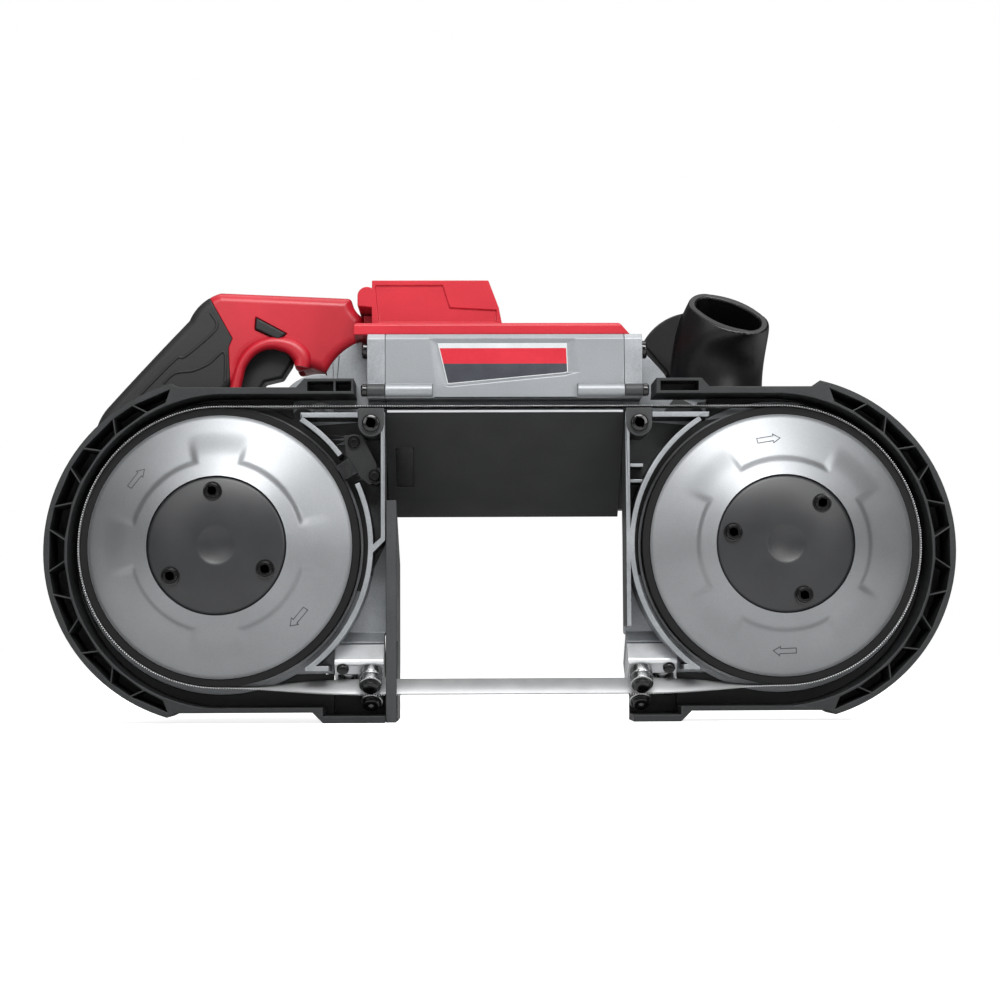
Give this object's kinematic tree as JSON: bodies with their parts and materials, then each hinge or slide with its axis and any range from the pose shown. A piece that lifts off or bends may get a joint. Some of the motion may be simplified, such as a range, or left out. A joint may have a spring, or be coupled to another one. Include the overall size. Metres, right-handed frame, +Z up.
{
  "type": "portable band saw",
  "caption": "Cordless portable band saw with guarded drive and idler wheels, a twisted blade between roller guides, a bridge over the throat, a rear trigger grip and a front horn handle.",
  "frame": {"origin": "on the floor under the middle of the whole saw's box", "axes": "+X from the rear grip to the front handle, +Y away from the open wheel side, +Z up"},
  "size_m": [0.5146, 0.112, 0.2543],
  "materials": {
    "red_housing": "satin moulded red",
    "black_moulding": "fine moulded texture",
    "grip_rubber": "soft matt rubber",
    "frame_casting": "sand-textured casting",
    "bridge_casting": "bead-blasted casting",
    "wheel_casting": "grey painted casting",
    "hub_cap_moulding": "fine moulded texture",
    "tyre_rubber": "matt",
    "blade_steel": "rolled strip",
    "machined_steel": "machined",
    "bearing_steel": "ground",
    "guide_casting": "machined casting",
    "black_screws": "black oxide",
    "shoe_coating": "black powder coat",
    "lever_casting": "black powder coat",
    "motor_iron": "laminated",
    "fan_nylon": "moulded",
    "circuit_board": "lacquered",
    "lens_plastic": "clear moulded",
    "terminal_nylon": "moulded",
    "contact_brass": "plated",
    "brush_nylon": "bristles"
  },
  "bodies": {
    "root": {"handle_shell_front": "red_housing", "handle_shell_back": "red_housing", "battery_mount": "red_housing", "rear_guard": "black_moulding", "front_guard": "black_moulding", "throat_liner": "black_moulding", "tyre_brush_holder": "black_moulding", "switch_module": "black_moulding", "rear_grip": "grip_rubber", "front_handle": "grip_rubber", "rear_frame": "frame_casting", "front_frame": "frame_casting", "gear_case": "frame_casting", "gear_case_cover": "frame_casting", "bridge_housing": "bridge_casting", "blade": "blade_steel", "ball_bearings": "bearing_steel", "rear_guide_block": "guide_casting", "front_guide_block": "guide_casting", "guide_screws": "black_screws", "frame_screws": "black_screws", "bridge_screws": "black_screws", "shoe_screws": "black_screws", "handle_screws": "black_screws", "front_frame_bolts": "black_screws", "motor_stator": "motor_iron", "control_board": "circuit_board", "work_light_lens": "lens_plastic", "terminal_block": "terminal_nylon", "battery_contacts": "contact_brass", "tyre_brush": "brush_nylon"},
    "drive": {"drive_wheel": "wheel_casting", "drive_tyre": "tyre_rubber", "drive_hub_cap": "hub_cap_moulding", "drive_cap_screws": "black_screws", "drive_spindle": "machined_steel", "final_gear": "machined_steel"},
    "second_shaft": {"second_layshaft": "machined_steel", "first_gear": "machined_steel"},
    "first_shaft": {"first_layshaft": "machined_steel", "bevel_gear": "machined_steel"},
    "rotor": {"motor_rotor": "motor_iron", "motor_fan": "fan_nylon", "bevel_pinion": "machined_steel"},
    "carriage": {"tension_carriage": "machined_steel"},
    "idler": {"idler_wheel": "wheel_casting", "idler_tyre": "tyre_rubber", "idler_hub_cap": "hub_cap_moulding", "idler_cap_screws": "black_screws", "idler_bearings": "bearing_steel"},
    "lever": {"tension_lever": "lever_casting"},
    "trigger": {"trigger": "black_moulding"},
    "lock_button": {"lock_button": "black_moulding"},
    "shoe": {"shoe": "shoe_coating"},
    "rear_upper_roller": {"rear_upper_roller": "machined_steel"},
    "rear_lower_roller": {"rear_lower_roller": "machined_steel"},
    "rear_thrust_roller": {"rear_thrust_roller": "machined_steel"},
    "front_upper_roller": {"front_upper_roller": "machined_steel"},
    "front_lower_roller": {"front_lower_roller": "machined_steel"},
    "front_thrust_roller": {"front_thrust_roller": "machined_steel"}
  },
  "joints": [
    {"name": "drive_spin", "type": "hinge", "parent": "root", "child": "drive", "pos_m": [-0.1595, -0.032, 0.09951], "axis": [0, 1, 0], "continuous": true},
    {"name": "second_shaft_spin", "type": "hinge", "parent": "root", "child": "second_shaft", "pos_m": [-0.12402, 0.008, 0.14854], "axis": [0, 1, 0], "continuous": true},
    {"name": "first_shaft_spin", "type": "hinge", "parent": "root", "child": "first_shaft", "pos_m": [-0.10449, 0.008, 0.17553], "axis": [0, 1, 0], "continuous": true},
    {"name": "rotor_spin", "type": "hinge", "parent": "root", "child": "rotor", "pos_m": [0, 0.016, 0.17553], "axis": [1, 0, 0], "continuous": true},
    {"name": "lever_turn", "type": "hinge", "parent": "root", "child": "lever", "pos_m": [0.1192, -0.008, 0.09951], "axis": [0, -1, 0], "range_deg": [0, 180]},
    {"name": "tension_slide", "type": "slide", "parent": "root", "child": "carriage", "axis": [-1, 0, 0], "range_m": [0, 0.003]},
    {"name": "idler_spin", "type": "hinge", "parent": "carriage", "child": "idler", "pos_m": [0.1595, -0.032, 0.09951], "axis": [0, 1, 0], "continuous": true},
    {"name": "trigger_pull", "type": "slide", "parent": "root", "child": "trigger", "axis": [-1, 0, 0], "range_m": [0, 0.007], "stiffness_N_per_m": 600, "springref_m": -0.008},
    {"name": "lock_push", "type": "slide", "parent": "root", "child": "lock_button", "axis": [0, 1, 0], "range_m": [0, 0.004], "stiffness_N_per_m": 500, "springref_m": -0.004},
    {"name": "shoe_slide", "type": "slide", "parent": "root", "child": "shoe", "axis": [0, 0, 1], "range_m": [0, 0.02]},
    {"name": "rear_upper_roller_spin", "type": "hinge", "parent": "root", "child": "rear_upper_roller", "pos_m": [-0.07409, -0.03698, 0.02464], "axis": [0, 0.7071, 0.7071], "continuous": true},
    {"name": "rear_lower_roller_spin", "type": "hinge", "parent": "root", "child": "rear_lower_roller", "pos_m": [-0.07409, -0.02702, 0.01466], "axis": [0, 0.7071, 0.7071], "continuous": true},
    {"name": "rear_thrust_roller_spin", "type": "hinge", "parent": "root", "child": "rear_thrust_roller", "pos_m": [-0.08709, -0.02376, 0.02789], "axis": [0, 0.7071, -0.7071], "continuous": true},
    {"name": "front_upper_roller_spin", "type": "hinge", "parent": "root", "child": "front_upper_roller", "pos_m": [0.07899, -0.03698, 0.02464], "axis": [0, 0.7071, 0.7071], "continuous": true},
    {"name": "front_lower_roller_spin", "type": "hinge", "parent": "root", "child": "front_lower_roller", "pos_m": [0.07899, -0.02702, 0.01466], "axis": [0, 0.7071, 0.7071], "continuous": true},
    {"name": "front_thrust_roller_spin", "type": "hinge", "parent": "root", "child": "front_thrust_roller", "pos_m": [0.09199, -0.02376, 0.02789], "axis": [0, 0.7071, -0.7071], "continuous": true}
  ],
  "couplings": [
    {"joint": "second_shaft_spin", "follows": "drive_spin", "ratio": -4.6667},
    {"joint": "first_shaft_spin", "follows": "drive_spin", "ratio": 15.556},
    {"joint": "rotor_spin", "follows": "drive_spin", "ratio": -56},
    {"joint": "idler_spin", "follows": "drive_spin", "ratio": 1},
    {"joint": "lever_turn", "follows": "tension_slide", "rad_per_m": 1047.2},
    {"joint": "rear_upper_roller_spin", "follows": "drive_spin", "ratio": 12.287},
    {"joint": "rear_lower_roller_spin", "follows": "drive_spin", "ratio": -12.287},
    {"joint": "rear_thrust_roller_spin", "follows": "drive_spin", "ratio": 15.973},
    {"joint": "front_upper_roller_spin", "follows": "drive_spin", "ratio": 12.287},
    {"joint": "front_lower_roller_spin", "follows": "drive_spin", "ratio": -12.287},
    {"joint": "front_thrust_roller_spin", "follows": "drive_spin", "ratio": 15.973}
  ]
}
